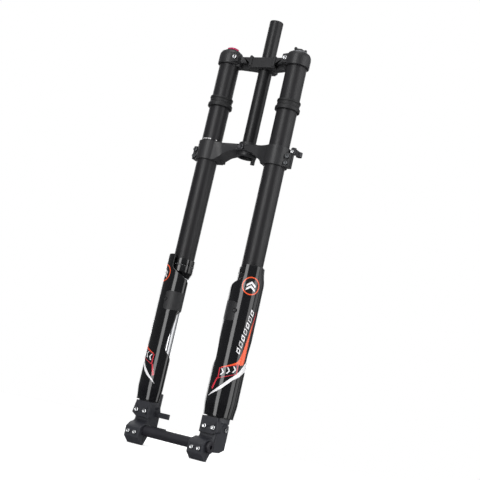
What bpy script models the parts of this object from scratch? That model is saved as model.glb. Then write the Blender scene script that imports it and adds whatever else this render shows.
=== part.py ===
"""Inverted dual-crown suspension fork for a bicycle, as an assembly of separate pieces.

Frame: metres, +Z up the steerer, the origin on the steerer's axis at the crown race seat.
The fork's front faces -Y. The rider's left is +X, and the rider's right is -X.
The spring leg is the right one and the damper leg is the left one.
"""

import math

import bmesh
import bpy
from mathutils import Matrix

# Legs and steerer
CLEAR = 0.0003            # gap between neighbouring pieces
WELD = 0.000005           # points closer than this are one point
SHARP = math.radians(35)  # edges sharper than this stay sharp
THROUGH = 0.12            # length of a drill that goes right through
LEG_X = 0.0785            # half the spacing of the legs
LEG_Y = -0.0165           # legs stand this far in front of the steerer
STEERER_R = 0.0143        # 1-1/8 inch steerer
STEERER_WALL = 0.0025
STEERER_TOP = 0.2685
STEERER_BOTTOM = -0.0272
TUBE_R = 0.0211           # outer (upper) tube
TUBE_BORE = 0.0190
TUBE_TOP = 0.1890
TUBE_BOTTOM = -0.2580
STANCHION_R = 0.0175      # inner (lower) tube
STANCHION_BORE = 0.0155
STANCHION_TOP = -0.0600
STANCHION_BOTTOM = -0.5560
FOOT_SEAT = -0.5750        # under the floor of each leg

# Crowns
LOWER_TOP = -0.0085
LOWER_BOTTOM = -0.0480
LOWER_FRONT = -0.0290
UPPER_TOP = 0.1820
UPPER_BOTTOM = 0.1600
UPPER_FRONT = -0.0215
RING_TOP = 0.1905
CLAMP_R = 0.0252
CLAMP_BORE = TUBE_R + CLEAR
STEERER_BORE = STEERER_R + CLEAR
PINCH_X = 0.1062          # pinch bolts on the outer ears of the lower crown
PINCH_HEIGHTS = (("upper", -0.0270), ("lower", -0.0410))
GUIDE_BOLT_X = 0.1083
FRONT_BOLT_X = 0.0584     # pinch bolts on the front ears of the upper crown
FRONT_BOLT_Z = 0.1750
EAR_FRONT = -0.0370
REAR_BOLT_Y = 0.0222      # bolts that close the upper crown on the steerer
REAR_BOLT_HEIGHTS = (("upper", 0.1765), ("lower", 0.1655))

# Axle and castings
AXLE_R = 0.0100
AXLE_BORE = 0.0075
AXLE_Y = -0.0480
AXLE_Z = -0.6040
HUB_FACE = 0.0550         # half of a 110 mm hub
BLOCK_OUT = 0.0880
BLOCK_FRONT = -0.0673
BOSS_FRONT = -0.0436
BOSS_BOLT_Z = -0.5680
BOSS_BOLT_HALF = 0.0095
BLOCK_BOLT_Z = -0.6100
BLOCK_BOLT_HALF = 0.0075
CALIPER_FACE = 0.0920
CALIPER_BOLT = (-0.0040, -0.5690)
SPOT_R = 0.0052           # spot face that the caliper bolt's head sits in
SPOT_DEPTH = 0.0005

# Guards
GUARD_TOP = -0.2530
GUARD_BOTTOM = -0.5470
GUARD_R = 0.0312
GUARD_WALL = 0.0020

# Internals
SPRING_TOP = -0.0600
SPRING_BOTTOM = -0.5000
SPRING_R = 0.0127
SPRING_WIRE = 0.0021
SPRING_TURNS = 16
CARTRIDGE_R = 0.0110
CARTRIDGE_BORE = 0.0096
ROD_R = 0.0050
STEM_BOTTOM = -0.5450      # rod and perch stem stand here on the foot bolts

SIDES = (("left", 1), ("right", -1))


def clear_scene():
    """Remove every object that the scene starts with."""
    for item in list(bpy.data.objects):
        bpy.data.objects.remove(item, do_unlink=True)


def material(name, colour, roughness, metallic):
    """A Principled material with one colour."""
    made = bpy.data.materials.new(name)
    made.use_nodes = True
    shader = made.node_tree.nodes["Principled BSDF"]
    shader.inputs["Base Color"].default_value = (*colour, 1.0)
    shader.inputs["Roughness"].default_value = roughness
    shader.inputs["Metallic"].default_value = metallic
    return made


FINISHES = {
    "black": ((0.020, 0.020, 0.022), 0.48, 0.3),
    "gloss": ((0.008, 0.008, 0.010), 0.12, 0.0),
    "cast": ((0.028, 0.030, 0.032), 0.42, 0.4),
    "steel": ((0.62, 0.62, 0.64), 0.25, 1.0),
    "chrome": ((0.75, 0.75, 0.77), 0.10, 1.0),
    "grey": ((0.30, 0.31, 0.32), 0.40, 0.8),
    "rubber": ((0.015, 0.015, 0.015), 0.75, 0.0),
    "red": ((0.70, 0.03, 0.08), 0.30, 0.7),
    "bronze": ((0.45, 0.30, 0.15), 0.40, 0.8),
}


def add_object(name, mesh, finish):
    """Link a mesh to the scene as a named object with its own material."""
    item = bpy.data.objects.new(name, mesh)
    bpy.context.scene.collection.objects.link(item)
    colour, roughness, metallic = FINISHES[finish]
    mesh.materials.clear()
    mesh.materials.append(material(name, colour, roughness, metallic))
    return item


def mesh_from(bm, name):
    """Close off a bmesh: faces out, smooth with sharp edges kept."""
    bmesh.ops.recalc_face_normals(bm, faces=bm.faces)
    mesh = bpy.data.meshes.new(name)
    bm.to_mesh(mesh)
    bm.free()
    mesh.shade_smooth()
    mesh.set_sharp_from_angle(angle=SHARP)
    return mesh


def turned(name, profile, finish="black", at=(0, 0, 0), segments=28, turn=None):
    """A solid of revolution about Z. A profile that starts on the axis is left open there."""
    bm = bmesh.new()
    verts = [bm.verts.new((radius, 0, height)) for radius, height in profile]
    on_axis = profile[0][0] == 0
    count = len(verts) - 1 if on_axis else len(verts)
    edges = [bm.edges.new((verts[i], verts[(i + 1) % len(verts)])) for i in range(count)]
    bmesh.ops.spin(bm, geom=verts + edges, cent=(0, 0, 0), axis=(0, 0, 1),
                   angle=math.tau, steps=segments, use_merge=True)
    bmesh.ops.remove_doubles(bm, verts=bm.verts, dist=1e-6)
    if turn is not None:
        bmesh.ops.transform(bm, matrix=turn, verts=bm.verts)
    item = add_object(name, mesh_from(bm, name), finish)
    item.location = at
    return item


def ring(inner, outer, low, high):
    """Profile of a plain ring or tube."""
    return [(outer, high), (outer, low), (inner, low), (inner, high)]


def rod(radius, low, high):
    """Profile of a plain solid rod."""
    return [(0, high), (radius, high), (radius, low), (0, low)]


def prism(name, outline, low, high, plane="XY", finish="black"):
    """An outline extruded square to its plane, from low to high."""
    place = {"XY": lambda a, b, c: (a, b, c),
             "XZ": lambda a, b, c: (a, c, b),
             "YZ": lambda a, b, c: (c, a, b)}[plane]
    bm = bmesh.new()
    base = bm.faces.new([bm.verts.new(place(a, b, low)) for a, b in outline])
    pulled = bmesh.ops.extrude_face_region(bm, geom=[base])["geom"]
    moved = [part for part in pulled if isinstance(part, bmesh.types.BMVert)]
    bmesh.ops.translate(bm, verts=moved, vec=place(0, 0, high - low))
    return add_object(name, mesh_from(bm, name), finish)


def box(name, low, high):
    """A box between two corners."""
    outline = [(low[0], low[1]), (high[0], low[1]), (high[0], high[1]), (low[0], high[1])]
    return prism(name, outline, low[2], high[2])


ALONG_X = Matrix.Rotation(math.radians(90), 4, "Y")
ALONG_Y = Matrix.Rotation(math.radians(90), 4, "X")   # local +Z turns to -Y


def drill(radius, centre, length, turn=None, segments=10):
    """A plain cylinder to cut with, centred on a point."""
    return turned("drill", rod(radius, -length / 2, length / 2), at=centre,
                  segments=segments, turn=turn)


def combine(target, tools, operation):
    """Join or cut a solid with others, and remove the tools."""
    for tool in tools:
        modifier = target.modifiers.new(tool.name, "BOOLEAN")
        modifier.operation = operation
        modifier.solver = "EXACT"
        modifier.object = tool
    graph = bpy.context.evaluated_depsgraph_get()
    solid = bpy.data.meshes.new_from_object(target.evaluated_get(graph))
    target.modifiers.clear()
    kept = target.data.materials[0]
    bm = bmesh.new()
    bm.from_mesh(solid)
    bmesh.ops.remove_doubles(bm, verts=bm.verts, dist=WELD)
    bmesh.ops.dissolve_degenerate(bm, edges=bm.edges, dist=WELD)
    bm.to_mesh(solid)
    bm.free()
    target.data = solid
    solid.name = target.name
    solid.materials.clear()
    solid.materials.append(kept)
    solid.polygons.foreach_set("material_index", [0] * len(solid.polygons))
    solid.shade_smooth()
    solid.set_sharp_from_angle(angle=SHARP)
    for tool in tools:
        bpy.data.objects.remove(tool, do_unlink=True)
    return target


def join(target, *tools):
    return combine(target, tools, "UNION")


def cut(target, *tools):
    return combine(target, tools, "DIFFERENCE")


def mirrored(points):
    """The outline's right half followed by its mirror image in the YZ plane."""
    return list(points) + [(-x, y) for x, y in reversed(points)]


def blend(value, start, end):
    """Smooth step: 0 at start, 1 at end."""
    t = min(1.0, max(0.0, (value - start) / (end - start)))
    return t * t * (3 - 2 * t)


def socket_bolt(name, seat, head, shank, turn, finish="steel"):
    """A cap screw: head and shank are (radius, length), its seat is under the head."""
    head_r, head_h = head
    shank_r, shank_l = shank
    profile = [(0, head_h), (head_r, head_h), (head_r, 0), (shank_r, 0), (shank_r, -shank_l), (0, -shank_l)]
    return turned(name, profile, finish, at=seat, segments=10, turn=turn)


# ------------------------------------------------------------------ chassis

def steerer_tube():
    bore = STEERER_R - STEERER_WALL
    profile = [(STEERER_R, STEERER_TOP - 0.0005), (STEERER_R, STEERER_BOTTOM),
               (bore, STEERER_BOTTOM), (bore, STEERER_TOP), (STEERER_R - 0.0005, STEERER_TOP)]
    turned("steerer_tube", profile)


def outer_tube(side, sign):
    neck = TUBE_R - 0.0009
    profile = [(TUBE_R, TUBE_TOP), (TUBE_R, TUBE_BOTTOM), (neck, TUBE_BOTTOM),
               (neck, TUBE_BOTTOM - 0.0135), (TUBE_BORE, TUBE_BOTTOM - 0.0135), (TUBE_BORE, TUBE_TOP)]
    turned("outer_tube_" + side, profile, at=(sign * LEG_X, LEG_Y, 0))


def bumper_ring(side, sign):
    bore = TUBE_R + CLEAR
    profile = [(0.0242, 0.0900), (0.0242, 0.0860), (0.0227, 0.0845), (0.0227, 0.0775),
               (0.0255, 0.0755), (0.0255, 0.0680), (bore, 0.0680), (bore, 0.0900)]
    turned("bumper_ring_" + side, profile, "rubber", (sign * LEG_X, LEG_Y, 0), 24)


def seal_head(side, sign):
    """Dust wiper housing around the tube's lower end, with a groove for its garter spring."""
    top = TUBE_BOTTOM - CLEAR
    lip = STANCHION_R + CLEAR
    profile = [(0.0235, top), (0.0235, -0.2700), (0.0226, -0.2700), (0.0226, -0.2722),
               (0.0235, -0.2722), (0.0235, -0.2850), (0.0216, -0.2885), (0.0190, -0.2950),
               (lip, -0.2960), (lip, -0.2835), (0.0205, -0.2835), (0.0205, top)]
    turned("seal_head_" + side, profile, "gloss", (sign * LEG_X, LEG_Y, 0), 24)


def seal_parts(side, sign):
    """Garter spring, oil seal and the fixed bushing of one leg."""
    place = (sign * LEG_X, LEG_Y, 0)
    turned("garter_spring_" + side, ring(0.0229, 0.0238, -0.2718, -0.2704), "chrome", place, 24)
    turned("oil_seal_" + side, ring(0.0178, 0.0202, -0.2828, -0.2722), "rubber", place, 20)
    turned("lower_bushing_" + side, ring(0.0178, 0.0187, -0.2550, -0.2350), "bronze", place, 20)


def lower_crown():
    """Arched forging: two tube clamps with outer ears, and a boss that holds the steerer."""
    half = [(0.046, LOWER_FRONT), (0.060, -0.0345), (LEG_X, -0.0400), (LEG_X, 0.0030),
            (0.060, 0.0040), (0.036, 0.0085), (0.0150, 0.0190)]
    body = prism("lower_crown", mirrored(half), LOWER_BOTTOM + 0.0004, LOWER_TOP - 0.0006)
    arch = [(0.012, -0.0215), (0.026, -0.0255), (0.038, -0.0320), (0.050, -0.0420),
            (0.058, LOWER_BOTTOM - 0.01)]
    cut(body, prism("arch", mirrored(arch), -0.05, 0.03, "XZ"))
    rings = []
    for _, sign in SIDES:
        rings.append(turned("ring", rod(CLAMP_R, LOWER_BOTTOM, LOWER_TOP), at=(sign * LEG_X, LEG_Y, 0)))
        rings.append(box("ear", (min(sign * 0.098, sign * 0.1115), -0.0255, -0.0475),
                         (max(sign * 0.098, sign * 0.1115), -0.0075, -0.0195)))
        rings.append(box("foot", (min(sign * 0.049, sign * 0.062), -0.010, -0.0453),
                         (max(sign * 0.049, sign * 0.062), 0.0080, -0.0200)))
    boss = turned("boss", [(0, 0), (0.0200, 0), (0.0200, -0.0050), (0.0215, -0.0080),
                           (0.0215, -0.0278), (0.0200, -0.0297), (0, -0.0297)])
    stub = turned("stub", rod(0.0045, -0.0380, -0.0270), at=(0.0085, 0.0165, 0), segments=14)
    guide_boss = box("guide_boss", (0.0960, -0.0095, -0.0175), (0.1115, -0.0020, -0.0090))
    join(body, *rings, boss, stub, guide_boss)
    holes = [drill(STEERER_BORE, (0, 0, 0), THROUGH, segments=28),
             drill(0.0042, (0, LOWER_FRONT + 0.002, -0.0152), 0.0170, ALONG_Y, 12),
             drill(0.0022, (GUIDE_BOLT_X, -0.008, -0.0132), 0.0100, ALONG_Y)]
    for _, sign in SIDES:
        holes.append(drill(CLAMP_BORE, (sign * LEG_X, LEG_Y, 0), THROUGH, segments=28))
        holes.append(box("slit", (min(sign * 0.096, sign * 0.113), LEG_Y - 0.0008, -0.06),
                         (max(sign * 0.096, sign * 0.113), LEG_Y + 0.0008, 0.0)))
        for _, height in PINCH_HEIGHTS:
            holes.append(drill(0.0029, (sign * PINCH_X, LEG_Y, height), 0.03, ALONG_Y))
    cut(body, *holes)


def upper_crown():
    """Slimmer crown: clamps with front ears, a ribbed cross bar and a split steerer clamp."""
    half = [(0.046, UPPER_FRONT), (0.056, -0.0240), (LEG_X, -0.0300), (LEG_X, 0.0010),
            (0.056, -0.0010), (0.030, 0.0060), (0.0120, 0.0130)]
    body = prism("upper_crown", mirrored(half), UPPER_BOTTOM, UPPER_TOP)
    parts = [turned("boss", rod(0.0205, UPPER_BOTTOM - 0.0008, UPPER_TOP + 0.0006)),
             box("rear_ears", (-0.0105, 0.0100, UPPER_BOTTOM + 0.0005), (0.0105, 0.0265, UPPER_TOP - 0.0004))]
    undercuts = []
    ring_profile = [(0, RING_TOP), (0.0222, RING_TOP), (0.0248, RING_TOP - 0.0050), (0.0255, 0.1800),
                    (0.0255, 0.1650), (0.0250, 0.1625), (0, 0.1625)]
    for _, sign in SIDES:
        parts.append(turned("ring", ring_profile, at=(sign * LEG_X, LEG_Y, 0)))
        ear = [(0.0500, 0.1660), (0.0520, 0.1840), (0.0640, 0.1860), (0.0680, 0.1800), (0.0680, 0.1660)]
        parts.append(prism("ear", [(sign * x, z) for x, z in ear], EAR_FRONT, -0.0150, "XZ"))
        rib = [(0.0240, 0.1625), (0.0240, 0.1835), (0.0255, 0.1850), (0.0285, 0.1850),
               (0.0300, 0.1835), (0.0300, 0.1625)]
        parts.append(prism("rib", [(sign * x, z) for x, z in rib], UPPER_FRONT - 0.0028, -0.0080, "XZ"))
        undercuts.append(box("undercut", (min(sign * 0.0305, sign * 0.0510), -0.030, 0.150),
                             (max(sign * 0.0305, sign * 0.0510), -0.010, 0.169)))
    cut(body, *undercuts)
    join(body, *parts)
    holes = [drill(STEERER_BORE, (0, 0, 0.17), 0.08, segments=28),
             box("slit", (-0.0008, 0.010, 0.15), (0.0008, 0.030, 0.20))]
    for _, height in REAR_BOLT_HEIGHTS:
        holes.append(drill(0.0028, (0, REAR_BOLT_Y, height), 0.03, ALONG_X))
    for _, sign in SIDES:
        holes.append(drill(CLAMP_BORE, (sign * LEG_X, LEG_Y, 0.17), 0.08, segments=28))
        holes.append(box("slit", (min(sign * 0.045, sign * 0.066), -0.0296, 0.15),
                         (max(sign * 0.045, sign * 0.066), -0.0282, 0.20)))
        holes.append(drill(0.0029, (sign * FRONT_BOLT_X, EAR_FRONT + 0.0035, FRONT_BOLT_Z), 0.0080, ALONG_Y))
    cut(body, *holes)


def crown_bolts():
    for side, sign in SIDES:
        for level, height in PINCH_HEIGHTS:
            socket_bolt("lower_pinch_bolt_" + side + "_" + level, (sign * PINCH_X, -0.0258, height),
                        (0.0043, 0.0040), (0.0025, 0.0170), ALONG_Y, "grey")
        socket_bolt("upper_pinch_bolt_" + side, (sign * FRONT_BOLT_X, EAR_FRONT - CLEAR, FRONT_BOLT_Z),
                    (0.0046, 0.0030), (0.0025, 0.0065), ALONG_Y)
    for level, height in REAR_BOLT_HEIGHTS:
        socket_bolt("steerer_clamp_bolt_" + level, (0.0108, REAR_BOLT_Y, height),
                    (0.0042, 0.0038), (0.0024, 0.0200), ALONG_X, "grey")
    socket_bolt("crown_centre_bolt", (0, LOWER_FRONT - CLEAR, -0.0152),
                (0.0064, 0.0030), (0.0036, 0.0070), ALONG_Y, "black")


def hose_guide():
    """Bracket with an eye for the brake hose, bolted to the lower crown."""
    plate = [(0.1042, -0.0180), (0.1042, -0.0060), (0.1065, -0.0035), (0.1145, -0.0045),
             (0.1145, -0.0180)]
    guide = prism("hose_guide", plate, -0.0128, -0.0098, "XZ")
    arm = box("arm", (0.1118, -0.0125, -0.0175), (0.1143, 0.0060, -0.0060))
    eye = turned("eye", rod(0.0062, -0.0165, -0.0065), at=(0.1130, 0.0100, 0), segments=16)
    join(guide, arm, eye)
    cut(guide, drill(0.0036, (0.1130, 0.0100, -0.010), 0.04, None, 14),
        drill(0.0022, (GUIDE_BOLT_X, -0.011, -0.0132), 0.0120, ALONG_Y))
    socket_bolt("hose_guide_bolt", (GUIDE_BOLT_X, -0.0131, -0.0132),
                (0.0034, 0.0030), (0.0018, 0.0060), ALONG_Y)


def top_caps():
    """Threaded plugs that close the tubes; the left one carries the damper, the right one the spring."""
    for side, sign in SIDES:
        profile = [(0, 0.1955), (0.0125, 0.1955), (0.0165, 0.1945), (0.0195, 0.1915), (0.0200, 0.1893),
                   (0.0186, 0.1893), (0.0186, 0.1720), (0, 0.1720)]
        turned("top_cap_" + side, profile, "grey" if side == "left" else "black",
               at=(sign * LEG_X, LEG_Y, 0))


def preload_knob():
    profile = [(0, 0.2012), (0.0092, 0.2012), (0.0134, 0.1995), (0.0144, 0.1958), (0, 0.1958)]
    turned("preload_knob", profile, "red", at=(-LEG_X, LEG_Y, 0), segments=6)


def compression_lever():
    """Two-ended lever on a round hub, turned about the left leg's axis."""
    hub = turned("compression_lever", rod(0.0058, -0.0030, 0.0032), "black", segments=20)
    bar = box("bar", (-0.0100, -0.0021, 0.0000), (0.0100, 0.0021, 0.0034))
    knobs = []
    for end in (-1, 1):
        profile = [(0, 0.0042), (0.0022, 0.0038), (0.0034, 0.0022), (0.0034, -0.0004), (0.0022, -0.0020),
                   (0, -0.0024)]
        knobs.append(turned("knob", profile, at=(end * 0.0105, 0, 0.0012), segments=14))
    join(hub, bar, *knobs)
    hub.location = (LEG_X, LEG_Y, 0.1988)
    hub.rotation_euler = (0, 0, math.radians(45))


def damper():
    """Cartridge and its seal head, fixed under the left cap."""
    place = (LEG_X, LEG_Y, 0)
    profile = [(0, 0.1717), (CARTRIDGE_R, 0.1717), (CARTRIDGE_R, -0.2300), (CARTRIDGE_BORE, -0.2300),
               (CARTRIDGE_BORE, 0.1680), (0, 0.1680)]
    turned("damper_cartridge", profile, "grey", place, 20)
    turned("damper_seal_head", ring(ROD_R + CLEAR, CARTRIDGE_BORE - CLEAR, -0.2290, -0.2150),
           "bronze", place, 20)


def spring_parts():
    """Preload spacer under the right cap, and the main spring on its axis."""
    place = (-LEG_X, LEG_Y, 0)
    turned("preload_spacer", ring(0.0125, 0.0145, SPRING_TOP + CLEAR, 0.1717), "grey", place, 20)
    steps = 9 * SPRING_TURNS
    curve = bpy.data.curves.new("main_spring", "CURVE")
    curve.dimensions = "3D"
    curve.bevel_depth = SPRING_WIRE
    curve.bevel_resolution = 0
    curve.use_fill_caps = True
    line = curve.splines.new("POLY")
    line.points.add(steps)
    low = SPRING_BOTTOM + CLEAR + SPRING_WIRE
    high = SPRING_TOP - SPRING_WIRE
    for i in range(steps + 1):
        angle = math.tau * SPRING_TURNS * i / steps
        line.points[i].co = (SPRING_R * math.cos(angle), SPRING_R * math.sin(angle),
                             low + (high - low) * i / steps, 1)
    colour, roughness, metallic = FINISHES["steel"]
    curve.materials.append(material("main_spring", colour, roughness, metallic))
    spring = bpy.data.objects.new("main_spring", curve)
    bpy.context.scene.collection.objects.link(spring)
    spring.location = place


# ----------------------------------------------------------- lower assembly

def stanchion(side, sign):
    place = (sign * LEG_X, LEG_Y, 0)
    turned("stanchion_" + side, ring(STANCHION_BORE, STANCHION_R, STANCHION_BOTTOM, STANCHION_TOP),
           "chrome", place)
    turned("upper_bushing_" + side, ring(0.0178, 0.0187, STANCHION_TOP - 0.022, STANCHION_TOP - 0.002),
           "bronze", place, 20)


def flip(points, sign):
    return [(sign * x, y) for x, y in points]


def dropout(side, sign):
    """Casting at a leg's foot: stanchion socket, bolt boss, flat-sided web and axle clamp."""
    place = (sign * LEG_X, LEG_Y, 0)
    sleeve = [(0, -0.5290), (0.0222, -0.5290), (0.0228, -0.5310), (0.0228, -0.5560), (0.0190, -0.5630),
              (0, -0.5630)]
    body = turned("dropout_" + side, sleeve, "cast", at=place)
    web = [(-0.0160, -0.5540), (-0.0300, -0.5560), (-0.0380, -0.5700), (-0.0390, -0.5850), (-0.0480, -0.5960),
           (-0.0380, -0.6120), (-0.0120, -0.6105), (-0.0010, -0.6000), (-0.0010, -0.5640),
           (-0.0080, -0.5540)]
    parts = [prism("web", web, min(sign * 0.0590, sign * 0.0905), max(sign * 0.0590, sign * 0.0905), "YZ")]
    boss = [(0.0582, -0.5490), (0.0930, -0.5490), (0.0975, -0.5740), (0.0880, -0.5800), (0.0582, -0.5800)]
    parts.append(prism("boss", flip(boss, sign), BOSS_FRONT, -0.0250, "XZ"))
    block = [(BLOCK_FRONT, -0.6010), (BLOCK_FRONT, -0.6195), (-0.0500, -0.6320), (-0.0440, -0.6320),
             (-0.0340, -0.6150), (-0.0330, -0.5930), (-0.0440, -0.5885), (-0.0580, -0.5930)]
    parts.append(prism("block", block, min(sign * HUB_FACE, sign * BLOCK_OUT),
                       max(sign * HUB_FACE, sign * BLOCK_OUT), "YZ"))
    if side == "left":
        plate = [(-0.0300, -0.5600), (-0.0100, -0.5555), (0.0080, -0.5600), (0.0100, -0.5680),
                 (0.0100, -0.6060), (-0.0080, -0.6125), (-0.0360, -0.6130)]
        parts.append(prism("plate", plate, 0.0830, CALIPER_FACE, "YZ"))
    else:
        parts.append(box("tab_upper", (-0.0700, -0.0135, -0.5750), (-0.0320, -0.0075, -0.5645)))
        parts.append(box("tab_lower", (-0.0700, -0.0135, -0.5990), (-0.0330, -0.0075, -0.5935)))
    join(body, *parts)
    socket_depth = 0.1000
    holes = [drill(STANCHION_R + CLEAR, (*place[:2], STANCHION_BOTTOM - CLEAR + socket_depth / 2),
                   socket_depth, None, 28),
             drill(0.0054, (*place[:2], FOOT_SEAT), 0.0600, None, 16),
             drill(0.0088, (*place[:2], FOOT_SEAT - 0.0300), 0.0600, None, 20),
             drill(AXLE_R + CLEAR, (sign * 0.0715, AXLE_Y, AXLE_Z), 0.06, ALONG_X, 24),
             box("slit", (min(sign * 0.050, sign * 0.093), AXLE_Y - 0.0008, -0.640),
                 (max(sign * 0.050, sign * 0.093), AXLE_Y + 0.0008, AXLE_Z))]
    for step in (-1, 1):
        holes.append(drill(0.0028, (sign * (LEG_X - 0.0005) + step * BOSS_BOLT_HALF, -0.0400, BOSS_BOLT_Z),
                           0.0200, ALONG_Y))
        holes.append(drill(0.0025, (sign * 0.0722 + step * BLOCK_BOLT_HALF, -0.0645, BLOCK_BOLT_Z),
                           0.0090, ALONG_Y))
    if side == "left":
        holes.append(drill(0.0028, (CALIPER_FACE - 0.0030, *CALIPER_BOLT), 0.0130, ALONG_X))
        spot_length = 0.0100
        spot_middle = CALIPER_FACE - SPOT_DEPTH + spot_length / 2
        holes.append(drill(SPOT_R, (spot_middle, *CALIPER_BOLT), spot_length, ALONG_X, 16))
    return cut(body, *holes)


def dropout_bolts(side, sign):
    for place, step in (("inner", -1), ("outer", 1)):
        across = sign * (LEG_X - 0.0005 + step * BOSS_BOLT_HALF)
        socket_bolt("boss_bolt_" + side + "_" + place, (across, BOSS_FRONT - CLEAR, BOSS_BOLT_Z),
                    (0.0045, 0.0036), (0.0024, 0.0085), ALONG_Y)
        across = sign * (0.0722 + step * BLOCK_BOLT_HALF)
        socket_bolt("axle_clamp_bolt_" + side + "_" + place, (across, BLOCK_FRONT - CLEAR, BLOCK_BOLT_Z),
                    (0.0040, 0.0034), (0.0021, 0.0060), ALONG_Y)
    if side == "left":
        socket_bolt("caliper_bolt", (CALIPER_FACE - SPOT_DEPTH + CLEAR, *CALIPER_BOLT),
                    (0.0045, 0.0034), (0.0024, 0.0080), ALONG_X)


def foot_bolt(side, sign):
    """Screw that comes up through the casting's floor into the leg."""
    seat = FOOT_SEAT - CLEAR
    profile = [(0, STEM_BOTTOM - CLEAR), (0.0048, STEM_BOTTOM - CLEAR), (0.0048, seat), (0.0080, seat),
               (0.0080, seat - 0.0070), (0, seat - 0.0070)]
    turned("foot_bolt_" + side, profile, "steel", at=(sign * LEG_X, LEG_Y, 0), segments=18)


def damper_rod():
    place = (LEG_X, LEG_Y, 0)
    turned("damper_rod", rod(ROD_R, STEM_BOTTOM, -0.1840), "chrome", place, 16)
    turned("damper_piston", ring(ROD_R + CLEAR, CARTRIDGE_BORE - CLEAR, -0.1980, -0.1860),
           "bronze", place, 20)


def spring_perch():
    """Seat for the spring's lower end, on a stem that stands on the foot bolt."""
    profile = [(0, SPRING_BOTTOM), (0.0152, SPRING_BOTTOM), (0.0152, SPRING_BOTTOM - 0.0060),
               (0.0065, SPRING_BOTTOM - 0.0100), (0.0065, STEM_BOTTOM), (0, STEM_BOTTOM)]
    turned("spring_perch", profile, "grey", at=(-LEG_X, LEG_Y, 0), segments=20)


def guard_edges(height):
    """First and last angle of the guard at a height: 0 is outward, 90 forward, 180 inward."""
    inner = 86 + 72 * blend(-height, 0.276, 0.307)
    outer = -52 + 14 * blend(height, -0.285, -0.255)
    window = blend(-height, 0.364, 0.372) * (1 - blend(-height, 0.440, 0.462))
    inner -= window * (14 + 14 * blend(-height, 0.372, 0.440))
    outer += window * 46 * blend(-height, 0.340, 0.430)
    return outer, inner


def guard_radius(height, angle):
    """Outer radius of the guard about the leg's axis."""
    radius = GUARD_R + 0.0013 * blend(angle, 70, 150)
    radius -= 0.0050 * blend(height, -0.288, -0.256) * (1 - blend(angle, -10, 35))
    radius -= 0.0026 * blend(-height, 0.518, 0.549)
    return radius


def guard(side, sign):
    """Open-backed shield over the stanchion, one bent shell of even thickness."""
    heights = [GUARD_TOP, -0.266, -0.276, -0.284, -0.292, -0.300, -0.307, -0.363, -0.372, -0.400,
               -0.430, -0.440, -0.451, -0.462, -0.518, -0.526, -0.534, -0.541, GUARD_BOTTOM]
    columns = 12
    bm = bmesh.new()
    sheets = []
    for wall in (0.0, GUARD_WALL):
        rows = []
        for height in heights:
            first, last = guard_edges(height)
            row = []
            for j in range(columns + 1):
                angle = first + (last - first) * j / columns
                radius = guard_radius(height, angle) - wall
                turn = math.radians(angle)
                row.append(bm.verts.new((sign * (LEG_X + radius * math.cos(turn)),
                                         LEG_Y - radius * math.sin(turn), height)))
            rows.append(row)
        sheets.append(rows)
    outside, inside = sheets
    for rows in sheets:
        for upper, lower in zip(rows, rows[1:]):
            for j in range(columns):
                bm.faces.new((upper[j], upper[j + 1], lower[j + 1], lower[j]))
    for end in (0, -1):
        for j in range(columns):
            bm.faces.new((outside[end][j], outside[end][j + 1], inside[end][j + 1], inside[end][j]))
        for i in range(len(heights) - 1):
            bm.faces.new((outside[i][end], outside[i + 1][end], inside[i + 1][end], inside[i][end]))
    return add_object("guard_" + side, mesh_from(bm, "guard_" + side), "gloss")


def thru_axle():
    """Hollow axle with a flanged head at the left and a hexagon broached in it."""
    head = CALIPER_FACE + 0.0030
    profile = [(AXLE_R, BLOCK_OUT + 0.0003), (AXLE_R, -BLOCK_OUT), (AXLE_BORE, -BLOCK_OUT),
               (AXLE_BORE, 0.0780), (0.0046, 0.0800), (0.0046, head), (0.0112, head),
               (0.0120, head - 0.0008), (0.0120, CALIPER_FACE + CLEAR), (AXLE_R, CALIPER_FACE + CLEAR)]
    turned("thru_axle", profile, "black", at=(0, AXLE_Y, AXLE_Z), segments=24, turn=ALONG_X)


def group(name, members):
    """Hold the pieces that move together under one empty."""
    empty = bpy.data.objects.new(name, None)
    bpy.context.scene.collection.objects.link(empty)
    for item in members:
        item.parent = empty


def main():
    clear_scene()
    steerer_tube()
    lower_crown()
    upper_crown()
    crown_bolts()
    hose_guide()
    for side, sign in SIDES:
        outer_tube(side, sign)
        bumper_ring(side, sign)
        seal_head(side, sign)
        seal_parts(side, sign)
    top_caps()
    preload_knob()
    compression_lever()
    damper()
    spring_parts()
    fixed = set(bpy.data.objects)
    for side, sign in SIDES:
        stanchion(side, sign)
        dropout(side, sign)
        dropout_bolts(side, sign)
        foot_bolt(side, sign)
        guard(side, sign)
    damper_rod()
    spring_perch()
    thru_axle()
    group("lower_assembly", [item for item in bpy.data.objects if item not in fixed])


main()
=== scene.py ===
"""Looks of the inverted dual-crown suspension fork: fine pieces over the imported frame.

Everything is in metres in the frame of the CAD model: +Z up the steerer, the front towards -Y.
"""

import math

import bmesh
import bpy
from mathutils import Matrix, Vector


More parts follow.
